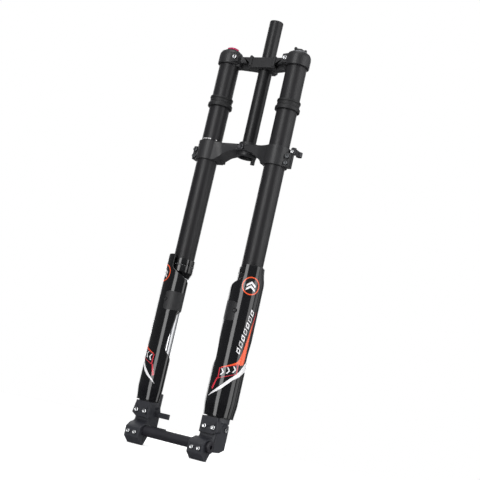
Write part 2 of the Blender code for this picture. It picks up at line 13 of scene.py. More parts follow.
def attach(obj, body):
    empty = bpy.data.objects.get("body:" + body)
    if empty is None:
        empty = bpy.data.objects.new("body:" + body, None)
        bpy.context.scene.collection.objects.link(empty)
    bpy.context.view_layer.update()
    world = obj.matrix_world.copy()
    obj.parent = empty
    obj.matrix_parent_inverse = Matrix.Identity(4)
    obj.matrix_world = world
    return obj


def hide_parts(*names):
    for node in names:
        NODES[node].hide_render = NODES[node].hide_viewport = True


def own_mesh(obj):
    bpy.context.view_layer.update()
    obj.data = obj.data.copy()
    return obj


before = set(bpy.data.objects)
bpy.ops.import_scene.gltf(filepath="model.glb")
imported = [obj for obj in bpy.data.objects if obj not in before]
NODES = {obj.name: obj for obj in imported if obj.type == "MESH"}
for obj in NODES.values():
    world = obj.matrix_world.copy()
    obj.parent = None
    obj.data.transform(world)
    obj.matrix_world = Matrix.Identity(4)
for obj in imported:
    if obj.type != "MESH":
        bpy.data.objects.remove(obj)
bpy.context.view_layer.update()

# Sizes repeated from the CAD source
CLEAR = 0.0003
LEG_X = 0.0785
LEG_Y = -0.0165
STEERER_R = 0.0143
STEERER_BORE = 0.0118
STEERER_TOP = 0.2685
STEERER_BOTTOM = -0.0272
TUBE_R = 0.0211
TUBE_BORE = 0.0190
TUBE_TOP = 0.1890
TUBE_BOTTOM = -0.2580
STANCHION_R = 0.0175
STANCHION_BORE = 0.0155
STANCHION_TOP = -0.0600
STANCHION_BOTTOM = -0.5560
FOOT_SEAT = -0.5753
AXLE_R = 0.0100
AXLE_BORE = 0.0075
AXLE_Y = -0.0480
AXLE_Z = -0.6040
BLOCK_OUT = 0.0880
CALIPER_FACE = 0.0920
GUARD_TOP = -0.2530
GUARD_BOTTOM = -0.5470
GUARD_R = 0.0312
GUARD_WALL = 0.0020
SPRING_TOP = -0.0600
SPRING_BOTTOM = -0.5000
SPRING_R = 0.0127
SPRING_WIRE = 0.0021
SPRING_TURNS = 16
FLOOR_Z = -0.6322
PINCH_X = 0.1062             # pinch bolts of the lower crown
PINCH_SEAT_Y = -0.0258
PINCH_HEIGHTS = (("upper", -0.0270), ("lower", -0.0410))
FRONT_SEAT = (0.0584, -0.0373, 0.1750)
CLAMP_SEAT = (0.0108, 0.0222)        # bolts that close the upper crown on the steerer
CLAMP_HEIGHTS = (("upper", 0.1765), ("lower", 0.1655))
CENTRE_SEAT = (0, -0.0293, -0.0152)
HOSE_SEAT = (0.1083, -0.0131, -0.0132)
CALIPER_SEAT = (0.0918, -0.0040, -0.5690)
BOSS_X = 0.0780              # middle of each pair of bolts on a casting
BOSS_HALF = 0.0095
BOSS_SEAT = (-0.0439, -0.5680)
BLOCK_X = 0.0722
BLOCK_HALF = 0.0075
BLOCK_SEAT = (-0.0676, -0.6100)
ROUND = 72                   # segments of a turned piece
FINE_ROUND = 80
FILM = 0.00006               # thickness of one layer of film

SIDES = (("left", 1), ("right", -1))
ALONG_X = Matrix.Rotation(math.radians(90), 4, "Y")
ALONG_Y = Matrix.Rotation(math.radians(90), 4, "X")   # local +Z turns to -Y


# ---------------------------------------------------------------- materials

NOISE_LOW = 0.3      # the range that most of a noise texture falls in
NOISE_HIGH = 0.7
COAT_ROUGH = 0.04


def noise(tree, coords, scale, detail=3.0, stretch=(1.0, 1.0, 1.0)):
    """Noise in the piece's own coordinates, stretched along its axes."""
    mapping = tree.nodes.new("ShaderNodeMapping")
    mapping.inputs["Scale"].default_value = stretch
    tree.links.new(coords.outputs["Object"], mapping.inputs["Vector"])
    node = tree.nodes.new("ShaderNodeTexNoise")
    node.inputs["Scale"].default_value = scale
    node.inputs["Detail"].default_value = detail
    tree.links.new(mapping.outputs["Vector"], node.inputs["Vector"])
    return node.outputs["Fac"]


def spread(tree, value, low, high):
    """Map noise onto a range."""
    node = tree.nodes.new("ShaderNodeMapRange")
    node.inputs["From Min"].default_value = NOISE_LOW
    node.inputs["From Max"].default_value = NOISE_HIGH
    node.inputs["To Min"].default_value = low
    node.inputs["To Max"].default_value = high
    tree.links.new(value, node.inputs["Value"])
    return node.outputs["Result"]


def surface(name, colour, rough, metal=0.0, coat=0.0, grain=1400.0, bump=0.10, depth=0.00005,
            vary=0.15, swing=0.05, stretch=(1.0, 1.0, 1.0), broad=35.0):
    """A procedural finish: fine grain in bump and colour, slow changes in roughness."""
    made = bpy.data.materials.new(name)
    made.use_nodes = True
    tree = made.node_tree
    shader = tree.nodes["Principled BSDF"]
    shader.inputs["Metallic"].default_value = metal
    shader.inputs["Coat Weight"].default_value = coat
    shader.inputs["Coat Roughness"].default_value = COAT_ROUGH
    coords = tree.nodes.new("ShaderNodeTexCoord")
    fine = noise(tree, coords, grain, 4.0, stretch)
    slow = noise(tree, coords, broad, 2.0)
    mix = tree.nodes.new("ShaderNodeMix")
    mix.data_type = "RGBA"
    mix.inputs["A"].default_value = (*[c * (1 - vary) for c in colour], 1)
    mix.inputs["B"].default_value = (*[min(1.0, c * (1 + vary)) for c in colour], 1)
    tree.links.new(fine, mix.inputs["Factor"])
    tree.links.new(mix.outputs["Result"], shader.inputs["Base Color"])
    tree.links.new(spread(tree, slow, rough - swing, rough + swing), shader.inputs["Roughness"])
    relief = tree.nodes.new("ShaderNodeBump")
    relief.inputs["Strength"].default_value = bump
    relief.inputs["Distance"].default_value = depth
    tree.links.new(fine, relief.inputs["Height"])
    tree.links.new(relief.outputs["Normal"], shader.inputs["Normal"])
    return made


TURNED = (1.0, 1.0, 12.0)    # fine rings around a leg, as a lathe leaves them
SATIN = surface("satin_black_tube", (0.0105, 0.0100, 0.0115), 0.43, 0.0, grain=2600, bump=0.12, swing=0.03)
STEERER = surface("satin_black_steerer", (0.0085, 0.0085, 0.0095), 0.41, 0.0, grain=2200, bump=0.12,
                  swing=0.04)
FORGED = surface("forged_black_crown", (0.0210, 0.0210, 0.0225), 0.42, 0.0, grain=1300, bump=0.28,
                 depth=0.00010, vary=0.25)
CAST = surface("cast_black", (0.0260, 0.0270, 0.0330), 0.40, 0.0, grain=900, bump=0.35, depth=0.00014,
               vary=0.30)
GLOSS = surface("gloss_black_guard", (0.0045, 0.0045, 0.0055), 0.10, 0.0, coat=0.35, grain=260, bump=0.05,
                depth=0.00004, vary=0.3, swing=0.02)
GLOSS_SEAL = surface("gloss_black_seal", (0.0042, 0.0042, 0.005), 0.14, 0.0, coat=0.6, grain=700, bump=0.06,
                     vary=0.3, swing=0.03)
BAND = surface("matte_grey_band", (0.017, 0.017, 0.0185), 0.50, 0.0, grain=3000, bump=0.20, vary=0.2)
RUBBER = surface("rubber_black", (0.013, 0.013, 0.014), 0.55, 0.0, grain=1800, bump=0.45, depth=0.00012,
                 vary=0.3)
CHROME = surface("hard_chrome", (0.82, 0.83, 0.85), 0.09, 1.0, grain=1600, bump=0.02, depth=0.000004,
                 vary=0.04, swing=0.02, stretch=TURNED)
STEEL = surface("zinc_plated_steel", (0.72, 0.73, 0.74), 0.20, 1.0, grain=2400, bump=0.10, vary=0.08)
GREY_STEEL = surface("grey_steel", (0.12, 0.125, 0.13), 0.36, 0.9, grain=2400, bump=0.12, vary=0.12)
BLACK_STEEL = surface("black_oxide_steel", (0.060, 0.060, 0.064), 0.34, 0.7, grain=2400, bump=0.12, vary=0.2)
CAP_GREY = surface("anodised_grey_cap", (0.30, 0.31, 0.32), 0.32, 0.8, grain=1500, bump=0.12, vary=0.10,
                   stretch=TURNED)
CAP_BLACK = surface("anodised_dark_cap", (0.020, 0.028, 0.024), 0.32, 0.5, grain=1500, bump=0.12, vary=0.2,
                    stretch=TURNED)
KNOB_RED = surface("anodised_red_knob", (0.78, 0.045, 0.17), 0.28, 0.6, grain=1900, bump=0.10, vary=0.12)
LEVER = surface("moulded_black_lever", (0.014, 0.014, 0.015), 0.30, 0.0, coat=0.3, grain=1500, bump=0.15,
                vary=0.2)
AXLE = surface("anodised_black_axle", (0.021, 0.0200, 0.026), 0.42, 0.2, grain=1300, bump=0.14, vary=0.2,
               stretch=(12.0, 1.0, 1.0))
ALLOY = surface("turned_alloy", (0.48, 0.49, 0.50), 0.32, 1.0, grain=1500, bump=0.15, vary=0.08,
                stretch=TURNED)
BRONZE = surface("bushing_bronze", (0.42, 0.27, 0.13), 0.40, 0.9, grain=1700, bump=0.18, vary=0.15)
SPRING = surface("spring_steel", (0.30, 0.31, 0.33), 0.30, 0.9, grain=1900, bump=0.15, vary=0.12)
ORANGE = surface("decal_orange", (0.86, 0.105, 0.028), 0.22, 0.0, coat=0.7, grain=1200, bump=0.04, vary=0.05,
                 swing=0.03)
CRIMSON = surface("decal_crimson", (0.60, 0.030, 0.050), 0.22, 0.0, coat=0.7, grain=1200, bump=0.04,
                  vary=0.06, swing=0.03)
WHITE = surface("decal_white", (0.86, 0.85, 0.86), 0.24, 0.0, coat=0.7, grain=1200, bump=0.04, vary=0.03,
                swing=0.03)
INK = surface("decal_black", (0.006, 0.006, 0.007), 0.14, 0.0, coat=0.9, grain=500, bump=0.04, vary=0.2,
              swing=0.02)


# ------------------------------------------------------------------- pieces

def piece(name, bm, finish, body, slot, *nodes, sharp=35):
    """Make a mesh a piece of the fork: it rides on a body and stands for the nodes."""
    bmesh.ops.recalc_face_normals(bm, faces=bm.faces)
    mesh = bpy.data.meshes.new(name)
    bm.to_mesh(mesh)
    bm.free()
    mesh.shade_smooth()
    mesh.set_sharp_from_angle(angle=math.radians(sharp))
    mesh.materials.append(finish)
    item = bpy.data.objects.new(name, mesh)
    bpy.context.scene.collection.objects.link(item)
    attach(item, body)
    if nodes:
        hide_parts(*nodes)
    return item


def soften(profile, size, closed=True):
    """Round the corners of a profile. Points on the axis and open ends stay."""
    count = len(profile)
    soft = []
    for i, (radius, height) in enumerate(profile):
        end = not closed and i in (0, count - 1)
        if radius == 0 or end:
            soft.append((radius, height))
            continue
        here = Vector((radius, height))
        before = Vector(profile[i - 1]) - here
        after = Vector(profile[(i + 1) % count]) - here
        reach = min(size, before.length * 0.45, after.length * 0.45)
        start = here + before.normalized() * reach
        stop = here + after.normalized() * reach
        for t in (0.0, 0.33, 0.67, 1.0):
            point = start.lerp(here, t).lerp(here.lerp(stop, t), t)
            soft.append((point.x, point.y))
    return soft


def across(radius, angle, shape):
    """Radius at an angle of a round, hexagonal or blunt hexagonal section."""
    if shape == "round":
        return radius
    turn = math.degrees(angle) % 60 - 30
    flat = radius * math.cos(math.radians(30)) / math.cos(math.radians(turn))
    return flat if shape == "hex" else min(flat, radius * 0.965)


def revolve(profile, at=(0, 0, 0), segments=64, turn=None, closed=True):
    """A turned solid about Z. A profile is a loop, or runs from axis to axis."""
    bm = bmesh.new()
    rings = []
    for entry in profile:
        radius, height = entry[:2]
        shape = entry[2] if len(entry) > 2 else "round"
        if radius == 0:
            rings.append([bm.verts.new((0, 0, height))])
            continue
        ring = []
        for k in range(segments):
            angle = math.tau * k / segments
            reach = across(radius, angle, shape)
            ring.append(bm.verts.new((reach * math.cos(angle), reach * math.sin(angle), height)))
        rings.append(ring)
    pairs = list(zip(rings, rings[1:]))
    if closed:
        pairs.append((rings[-1], rings[0]))
    for low, high in pairs:
        for k in range(segments):
            after = (k + 1) % segments
            if len(low) == 1:
                bm.faces.new((low[0], high[k], high[after]))
            elif len(high) == 1:
                bm.faces.new((low[k], high[0], low[after]))
            else:
                bm.faces.new((low[k], low[after], high[after], high[k]))
    if turn is not None:
        bmesh.ops.transform(bm, matrix=turn, verts=bm.verts)
    bmesh.ops.translate(bm, verts=bm.verts, vec=at)
    return bm


def tube(inner, outer, low, high):
    return [(outer, high), (outer, low), (inner, low), (inner, high)]


def leg(sign):
    return (sign * LEG_X, LEG_Y, 0)


def cap_screw(name, seat, head, shank, turn, finish, body, slot):
    """Socket-head cap screw with a bevelled head and a hexagon socket."""
    head_r, head_h = head
    shank_r, shank_l = shank
    edge = head_r * 0.14
    key = head_r * 0.58
    floor = head_h * 0.40
    profile = [(0, -shank_l), (shank_r * 0.8, -shank_l), (shank_r, -shank_l + shank_r * 0.3), (shank_r, 0),
               (head_r * 0.97, 0), (head_r, head_r * 0.04), (head_r, head_h - edge),
               (head_r - edge * 0.3, head_h - edge * 0.3), (head_r - edge, head_h), (key * 1.12, head_h),
               (key, head_h - key * 0.10, "hex"), (key, floor, "hex"), (0, floor - key * 0.2)]
    bm = revolve(profile, seat, 48, turn, closed=False)
    return piece(name + "_screw", bm, finish, body, slot, name)


def bevelled(node, finish, body, slot, width, segments=2):
    """A node's own shape with its long sharp edges rounded over."""
    bm = bmesh.new()
    bm.from_mesh(NODES[node].data)
    bmesh.ops.remove_doubles(bm, verts=bm.verts, dist=0.00001)
    bmesh.ops.dissolve_limit(bm, angle_limit=math.radians(0.8), verts=bm.verts, edges=bm.edges)
    corner = math.radians(28)
    picked = []
    for edge in bm.edges:
        if len(edge.link_faces) != 2 or edge.calc_face_angle(0) < corner:
            continue
        if edge.calc_length() < 2.5 * width:
            continue
        near = [other.calc_length() for vert in edge.verts for other in vert.link_edges]
        if min(near) > 2.0 * width:
            picked.append(edge)
    bmesh.ops.bevel(bm, geom=picked, offset=width, segments=segments, profile=0.5, affect="EDGES",
                    clamp_overlap=False)
    bmesh.ops.triangulate(bm, faces=[face for face in bm.faces if len(face.verts) > 4])
    item = piece(node + "_soft", bm, finish, body, slot, node, sharp=38)
    weighted = item.modifiers.new("weighted", "WEIGHTED_NORMAL")
    weighted.keep_sharp = True
    return item


# ------------------------------------------------------- guards and decals

def blend(value, start, end):
    t = min(1.0, max(0.0, (value - start) / (end - start)))
    return t * t * (3 - 2 * t)


def guard_edges(height):
    """First and last angle of the guard: 0 is outward, 90 forward, 180 inward."""
    inner = 86 + 72 * blend(-height, 0.276, 0.307)
    outer = -52 + 14 * blend(height, -0.285, -0.255)
    window = blend(-height, 0.364, 0.372) * (1 - blend(-height, 0.440, 0.462))
    inner -= window * (14 + 14 * blend(-height, 0.372, 0.440))
    outer += window * 46 * blend(-height, 0.340, 0.430)
    return outer, inner


def guard_radius(height, angle):
    radius = GUARD_R + 0.0013 * blend(angle, 70, 150)
    radius -= 0.0050 * blend(height, -0.288, -0.256) * (1 - blend(angle, -10, 35))
    radius -= 0.0026 * blend(-height, 0.518, 0.549)
    return radius


def on_guard(sign, angle, height, lift):
    """A point this far off the guard's outer face."""
    radius = guard_radius(height, angle) + lift
    turn = math.radians(angle)
    return (sign * (LEG_X + radius * math.cos(turn)), LEG_Y - radius * math.sin(turn), height)


def on_tube(sign, angle, height, lift):
    """A point this far off an outer tube's face."""
    turn = math.radians(angle)
    radius = TUBE_R + lift
    return (sign * (LEG_X + radius * math.cos(turn)), LEG_Y - radius * math.sin(turn), height)


def guard(side, sign, columns=52, rows=84):
    """The shield as one shell of even thickness with rounded rims."""
    middle = GUARD_WALL / 2
    levels = []
    rim = []
    for tilt in (math.radians(80), math.radians(55), math.radians(28)):
        rim.append((middle * (1 - math.sin(tilt)), middle * math.cos(tilt)))
    for drop, half in rim:
        levels.append((GUARD_TOP - drop, half))
    for i in range(rows + 1):
        share = i / rows
        levels.append((GUARD_TOP - middle + (GUARD_BOTTOM - GUARD_TOP + GUARD_WALL) * share, middle))
    for drop, half in reversed(rim):
        levels.append((GUARD_BOTTOM + drop, half))
    bm = bmesh.new()
    loops = []
    for height, half in levels:
        first, last = guard_edges(height)
        edge = math.degrees(half / GUARD_R)
        first += edge
        last -= edge
        angles = [first + (last - first) * j / columns for j in range(columns + 1)]
        loop = [on_guard(sign, angle, height, half - middle) for angle in angles]
        for a in (45, 0, -45):
            part = math.radians(a)
            loop.append(on_guard(sign, last + edge * math.cos(part), height, half * math.sin(part) - middle))
        loop += [on_guard(sign, angle, height, -half - middle) for angle in reversed(angles)]
        for a in (-45, 0, 45):
            part = math.radians(a)
            loop.append(on_guard(sign, first - edge * math.cos(part), height, half * math.sin(part) - middle))
        loops.append([bm.verts.new(point) for point in loop])
    count = len(loops[0])
    for upper, lower in zip(loops, loops[1:]):
        for k in range(count):
            after = (k + 1) % count
            bm.faces.new((upper[k], upper[after], lower[after], lower[k]))
    for loop in (loops[0], loops[-1]):
        outside = loop[:columns + 1]
        inside = loop[columns + 4:2 * columns + 5][::-1]
        for j in range(columns):
            bm.faces.new((outside[j], outside[j + 1], inside[j + 1], inside[j]))
        bm.faces.new([outside[-1], *loop[columns + 1:columns + 4], inside[-1]])
        bm.faces.new([inside[0], *loop[2 * columns + 5:], outside[0]])
    piece("guard_" + side + "_shell", bm, GLOSS, "lower_assembly", "gloss_black", "guard_" + side, sharp=50)


PER_DEGREE = math.radians(1) * GUARD_R


def decal(name, outlines, finish, layer, sign, body="lower_assembly", slot="gloss_black", place=on_guard):
    """A thin film on a curved face. Its outlines are (angle, height in mm) on that face."""
    flat = bmesh.new()
    for outline in outlines:
        flat.faces.new([flat.verts.new((angle * PER_DEGREE, height / 1000, 0)) for angle, height in outline])
    bmesh.ops.remove_doubles(flat, verts=flat.verts, dist=0.00002)
    bmesh.ops.triangulate(flat, faces=flat.faces)
    spans = [[v.co[axis] for v in flat.verts] for axis in (0, 1)]
    for axis, step in ((0, 4 * PER_DEGREE), (1, 0.005)):
        low = math.ceil(min(spans[axis]) / step)
        high = math.floor(max(spans[axis]) / step)
        for k in range(low, high + 1):
            where = Vector((0, 0, 0))
            where[axis] = k * step + 0.0000137
            normal = Vector((0, 0, 0))
            normal[axis] = 1
            bmesh.ops.bisect_plane(flat, geom=[*flat.verts, *flat.edges, *flat.faces], dist=0.000001,
                                   plane_co=where, plane_no=normal)
    bm = bmesh.new()
    flat.verts.ensure_lookup_table()
    under = []
    over = []
    for vert in flat.verts:
        angle = vert.co.x / PER_DEGREE
        under.append(bm.verts.new(place(sign, angle, vert.co.y, -FILM)))
        over.append(bm.verts.new(place(sign, angle, vert.co.y, FILM * layer)))
    flat.verts.index_update()
    for face in flat.faces:
        bm.faces.new([over[v.index] for v in face.verts])
        bm.faces.new([under[v.index] for v in reversed(face.verts)])
    for edge in flat.edges:
        if len(edge.link_faces) == 1:
            a, b = (v.index for v in edge.verts)
            bm.faces.new((over[a], over[b], under[b], under[a]))
    flat.free()
    return piece(name, bm, finish, body, slot, sharp=40)


def circle(centre, radius, count=48):
    """Outline of a circle on the guard, its radius in mm."""
    points = []
    for k in range(count):
        turn = math.tau * k / count
        points.append((centre[0] + radius / 1000 * math.cos(turn) / PER_DEGREE,
                       centre[1] + radius * math.sin(turn)))
    return points


def hoop(centre, inner, outer, count=48):
    """Outlines that make a ring on the guard."""
    a = circle(centre, inner, count)
    b = circle(centre, outer, count)
    return [[a[k], b[k], b[(k + 1) % count], a[(k + 1) % count]] for k in range(count)]


def frame_of(corners, width):
    """Outlines of the border of a four-sided shape, its width as a share of the shape."""
    middle = (sum(c[0] for c in corners) / 4, sum(c[1] for c in corners) / 4)
    inside = [(c[0] + (middle[0] - c[0]) * width, c[1] + (middle[1] - c[1]) * width) for c in corners]
    return [[corners[k], corners[(k + 1) % 4], inside[(k + 1) % 4], inside[k]] for k in range(4)]


def decals(side, sign):
    """Generic badge, pattern strip and sweeps."""
    badge = (50.0, -293.5)
    decal("badge_field_" + side, [circle(badge, 16.0)], INK, 1, sign)
    decal("badge_ring_" + side, hoop(badge, 15.4, 17.6), ORANGE, 2, sign)
    mm = 0.001 / PER_DEGREE
    chevrons = []
    for drop in (-1.0, 6.5):
        for flip in (-1, 1):
            tip = (badge[0], badge[1] + 8.0 - drop)
            foot = (badge[0] + flip * 9.0 * mm, badge[1] + 1.0 - drop)
            chevrons.append([tip, foot, (foot[0], foot[1] - 4.5), (tip[0], tip[1] - 5.0)])
    decal("badge_chevrons_" + side, chevrons, WHITE, 2, sign)
    bars = []
    count = 7
    for k in range(count):
        share = (k + 0.5) / count
        centre = (21.0 + 25.0 * share, -337.0 - 88.0 * share)
        half_w = 3.6 * mm
        half_h = 4.6
        lean = 2.2
        left, right = centre[0] - half_w, centre[0] + half_w
        corners = [(left, centre[1] + half_h - lean), (right, centre[1] + half_h + lean),
                   (right, centre[1] - half_h + lean), (left, centre[1] - half_h - lean)]
        bars += frame_of(corners, 0.30 if k % 2 else 0.46)
    decal("pattern_strip_" + side, bars, WHITE, 2, sign)
    sweep = [(7.0, -352), (12.0, -368), (16.5, -386), (21.5, -404), (27.5, -422), (33.0, -434), (39.0, -440),
             (60.0, -447), (92.0, -455), (92.0, -457), (60.0, -450), (34.0, -443), (24.0, -445), (11.0, -443),
             (8.5, -428), (9.0, -404), (9.0, -378)]
    decal("orange_sweep_" + side, [sweep], ORANGE, 1, sign)
    edge = [(2.0, -338), (7.0, -352), (6.0, -366), (4.0, -380), (4.5, -362)]
    decal("crimson_edge_" + side, [edge], CRIMSON, 2, sign)
    panel = [(98.0, -457.0), (32.0, -443.5), (30.0, -462.5), (96.0, -477.5)]
    decal("panel_field_" + side, [panel], INK, 2, sign)
    decal("panel_border_" + side, frame_of(panel, 0.11), CRIMSON, 3, sign)
    arrows = []
    for k in range(3):
        x = 84.0 - 20.0 * k
        z = -463.5 + 4.2 * k
        arrows.append([(x + 6, z + 6.0), (x + 1, z + 6.0), (x - 7, z), (x - 2, z)])
        arrows.append([(x - 2, z), (x - 7, z), (x + 1, z - 6.0), (x + 6, z - 6.0)])
    decal("panel_arrows_" + side, arrows, WHITE, 3, sign)
    hook = [(96, -477.0), (100, -475.5), (113, -496.0), (107, -499.0)]
    decal("crimson_hook_" + side, [hook], CRIMSON, 1, sign)
    swoosh = [(-26, -440), (-2, -436), (22, -456), (40, -467), (56, -475), (72, -485.0), (92, -496.0),
              (108, -504.0), (122, -512.5), (106, -506.5), (90, -501.0), (72, -493.0), (56, -483.5),
              (40, -474), (22, -468), (0, -457), (-26, -452)]
    decal("white_swoosh_" + side, [swoosh], WHITE, 2, sign)


def guard_trim(side, sign):
    """The matte band above the window, with a small ringed port in it."""
    band = [(85, -331.0), (98, -328.0), (157.0, -328.0), (157.0, -363.5), (98, -366.0), (85, -363.0)]
    decal("guard_band_" + side, [band], BAND, 1, sign)
    profile = [(0, -0.0004), (0.0046, -0.0004), (0.0046, 0.0003), (0.0041, 0.0007), (0.0031, 0.0007),
               (0.0026, 0.0002), (0.0024, -0.0001), (0, -0.0001)]
    point = Vector(on_guard(sign, 88, -0.345, 0.0))
    outward = (point - Vector((*leg(sign)[:2], -0.345))).normalized()
    turn = outward.to_track_quat("Z", "Y").to_matrix().to_4x4()
    bm = revolve(profile, point, 40, turn, closed=False)
    piece("guard_port_" + side, bm, GLOSS_SEAL, "lower_assembly", "gloss_black")


# -------------------------------------------------------------- the chassis

def steerer_and_tubes():
    body = "chassis"
    profile = soften([(STEERER_R, STEERER_TOP), (STEERER_R, STEERER_BOTTOM), (STEERER_BORE, STEERER_BOTTOM),
                      (STEERER_BORE, STEERER_TOP)], 0.0006)
    piece("steerer_fine", revolve(profile, segments=ROUND), STEERER, body, "tube_black", "steerer_tube")
    neck = TUBE_R - 0.0009
    for side, sign in SIDES:
        profile = soften([(TUBE_R, TUBE_TOP), (TUBE_R, TUBE_BOTTOM), (neck, TUBE_BOTTOM),
                          (neck, TUBE_BOTTOM - 0.0135), (TUBE_BORE, TUBE_BOTTOM - 0.0135),
                          (TUBE_BORE, TUBE_TOP)], 0.0004)
        bm = revolve(profile, leg(sign), FINE_ROUND)
        piece("outer_tube_" + side + "_fine", bm, SATIN, body, "tube_black", "outer_tube_" + side)
        bore = TUBE_R + CLEAR
        profile = soften([(0.0240, 0.0900), (0.0242, 0.0860), (0.0227, 0.0845), (0.0227, 0.0832),
                          (0.0231, 0.0826), (0.0231, 0.0800), (0.0227, 0.0794), (0.0227, 0.0775),
                          (0.0255, 0.0752), (0.0255, 0.0684), (bore, 0.0680), (bore, 0.0900)], 0.0009)
        bm = revolve(profile, leg(sign), ROUND)
        piece("bumper_ring_" + side + "_fine", bm, RUBBER, body, "rubber_black", "bumper_ring_" + side)
        top = TUBE_BOTTOM - CLEAR
        lip = STANCHION_R + CLEAR
        profile = soften([(0.0235, top), (0.0235, -0.2700), (0.0226, -0.2700), (0.0226, -0.2722),
                          (0.0235, -0.2722), (0.0235, -0.2850), (0.0216, -0.2885), (0.0190, -0.2950),
                          (lip, -0.2960), (lip, -0.2835), (0.0205, -0.2835), (0.0205, top)], 0.0004)
        bm = revolve(profile, leg(sign), ROUND)
        piece("seal_head_" + side + "_fine", bm, GLOSS_SEAL, body, "gloss_black", "seal_head_" + side)
        garter(side, sign)


def garter(side, sign):
    """Garter spring: a fine coil bent round the wiper."""
    turns = 110
    per_turn = 8
    sides = 5
    wire = 0.00016
    total = turns * per_turn
    bm = bmesh.new()
    rings = []
    for i in range(total):
        around = math.tau * i / total
        coil = math.tau * i / per_turn
        out = Vector((math.cos(around), math.sin(around), 0))
        up = Vector((0, 0, 1))
        hub = out * 0.02335 + up * -0.2711
        arm = out * math.cos(coil) + up * math.sin(coil)
        along = Vector((-math.sin(around), math.cos(around), 0))
        centre = hub + arm * 0.00030
        ring = []
        for k in range(sides):
            turn = math.tau * k / sides
            point = centre + arm * (wire * math.cos(turn)) + along * (wire * math.sin(turn))
            ring.append(bm.verts.new(point + Vector(leg(sign))))
        rings.append(ring)
    for i in range(total):
        for k in range(sides):
            after = (k + 1) % sides
            following = rings[(i + 1) % total]
            bm.faces.new((rings[i][k], rings[i][after], following[after], following[k]))
    piece("garter_spring_" + side + "_coil", bm, CHROME, "chassis", "stanchion_chrome",
          "garter_spring_" + side, sharp=80)


def crown_screws():
    for side, sign in SIDES:
        for level, height in PINCH_HEIGHTS:
            cap_screw("lower_pinch_bolt_" + side + "_" + level, (sign * PINCH_X, PINCH_SEAT_Y, height),
                      (0.0043, 0.0040), (0.0025, 0.0170), ALONG_Y, GREY_STEEL, "chassis", "bolt_grey")
        cap_screw("upper_pinch_bolt_" + side, (sign * FRONT_SEAT[0], *FRONT_SEAT[1:]),
                  (0.0046, 0.0030), (0.0025, 0.0065), ALONG_Y, STEEL, "chassis", "bolt_steel")
    for level, height in CLAMP_HEIGHTS:
        cap_screw("steerer_clamp_bolt_" + level, (*CLAMP_SEAT, height), (0.0042, 0.0038),
                  (0.0024, 0.0200), ALONG_X, GREY_STEEL, "chassis", "bolt_grey")
    cap_screw("crown_centre_bolt", CENTRE_SEAT, (0.0064, 0.0030), (0.0036, 0.0070), ALONG_Y,
              BLACK_STEEL, "chassis", "bolt_black")
    cap_screw("hose_guide_bolt", HOSE_SEAT, (0.0034, 0.0030), (0.0018, 0.0060), ALONG_Y,
              STEEL, "chassis", "bolt_steel")


def caps():
    profile = [(0, 0.1955), (0.0110, 0.1955), (0.0112, 0.1951), (0.0118, 0.1951), (0.0120, 0.1955),
               (0.0128, 0.1955), (0.0165, 0.1945), (0.0195, 0.1915), (0.0200, 0.1893), (0.0186, 0.1893),
               (0.0186, 0.1720), (0, 0.1720)]
    finishes = (("left", 1, CAP_GREY, "cap_grey"), ("right", -1, CAP_BLACK, "cap_black"))
    for side, sign, finish, slot in finishes:
        bm = revolve(soften(profile, 0.0003), leg(sign), ROUND, closed=False)
        piece("top_cap_" + side + "_fine", bm,
              finish, "chassis", slot, "top_cap_" + side)
    knob = [(0, 0.1958), (0.0136, 0.1958, "blunt"), (0.0142, 0.1962, "blunt"), (0.0138, 0.1980, "blunt"),
            (0.0132, 0.1993, "blunt"), (0.0124, 0.2000, "blunt"), (0.0092, 0.2011), (0.0084, 0.2012),
            (0.0034, 0.2012), (0.0032, 0.2008, "hex"), (0.0032, 0.1988, "hex"), (0, 0.1985)]
    piece("preload_knob_fine", revolve(knob, leg(-1), ROUND, closed=False), KNOB_RED, "preload_knob",
          "knob_red", "preload_knob")


def main_spring():
    """The coil inside the right leg, built at a fixed length."""
    per_turn = 28
    sides = 10
    total = SPRING_TURNS * per_turn
    low = SPRING_BOTTOM + CLEAR + SPRING_WIRE
    high = SPRING_TOP - SPRING_WIRE
    bm = bmesh.new()
    rings = []
    for i in range(total + 1):
        around = math.tau * SPRING_TURNS * i / total
        out = Vector((math.cos(around), math.sin(around), 0))
        centre = Vector(leg(-1)) + out * SPRING_R + Vector((0, 0, low + (high - low) * i / total))
        ring = []
        for k in range(sides):
            turn = math.tau * k / sides
            ring.append(bm.verts.new(centre + out * (SPRING_WIRE * math.cos(turn))
                                     + Vector((0, 0, SPRING_WIRE * math.sin(turn)))))
        rings.append(ring)
    for lower, upper in zip(rings, rings[1:]):
        for k in range(sides):
            after = (k + 1) % sides
            bm.faces.new((lower[k], lower[after], upper[after], upper[k]))
    bm.faces.new(rings[0])
    bm.faces.new(rings[-1])
    spring = piece("main_spring_fine", bm, SPRING, "chassis", "spring_steel", "main_spring", sharp=50)
    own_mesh(spring)


def tube_marks():
    """Small setting marks on the right tube, just above the lower crown."""
    marks = []
    for k in range(5):
        start = 62 + 11 * k
        marks.append([(start, -5.6), (start + 7, -5.6), (start + 7, -3.4), (start, -3.4)])
    marks.append([(142, -5.6), (150, -5.6), (150, -4.2), (142, -4.2)])
    decal("tube_marks_right", marks, WHITE, 1, -1, "chassis", "tube_black", on_tube)


# ------------------------------------------------------- the lower assembly

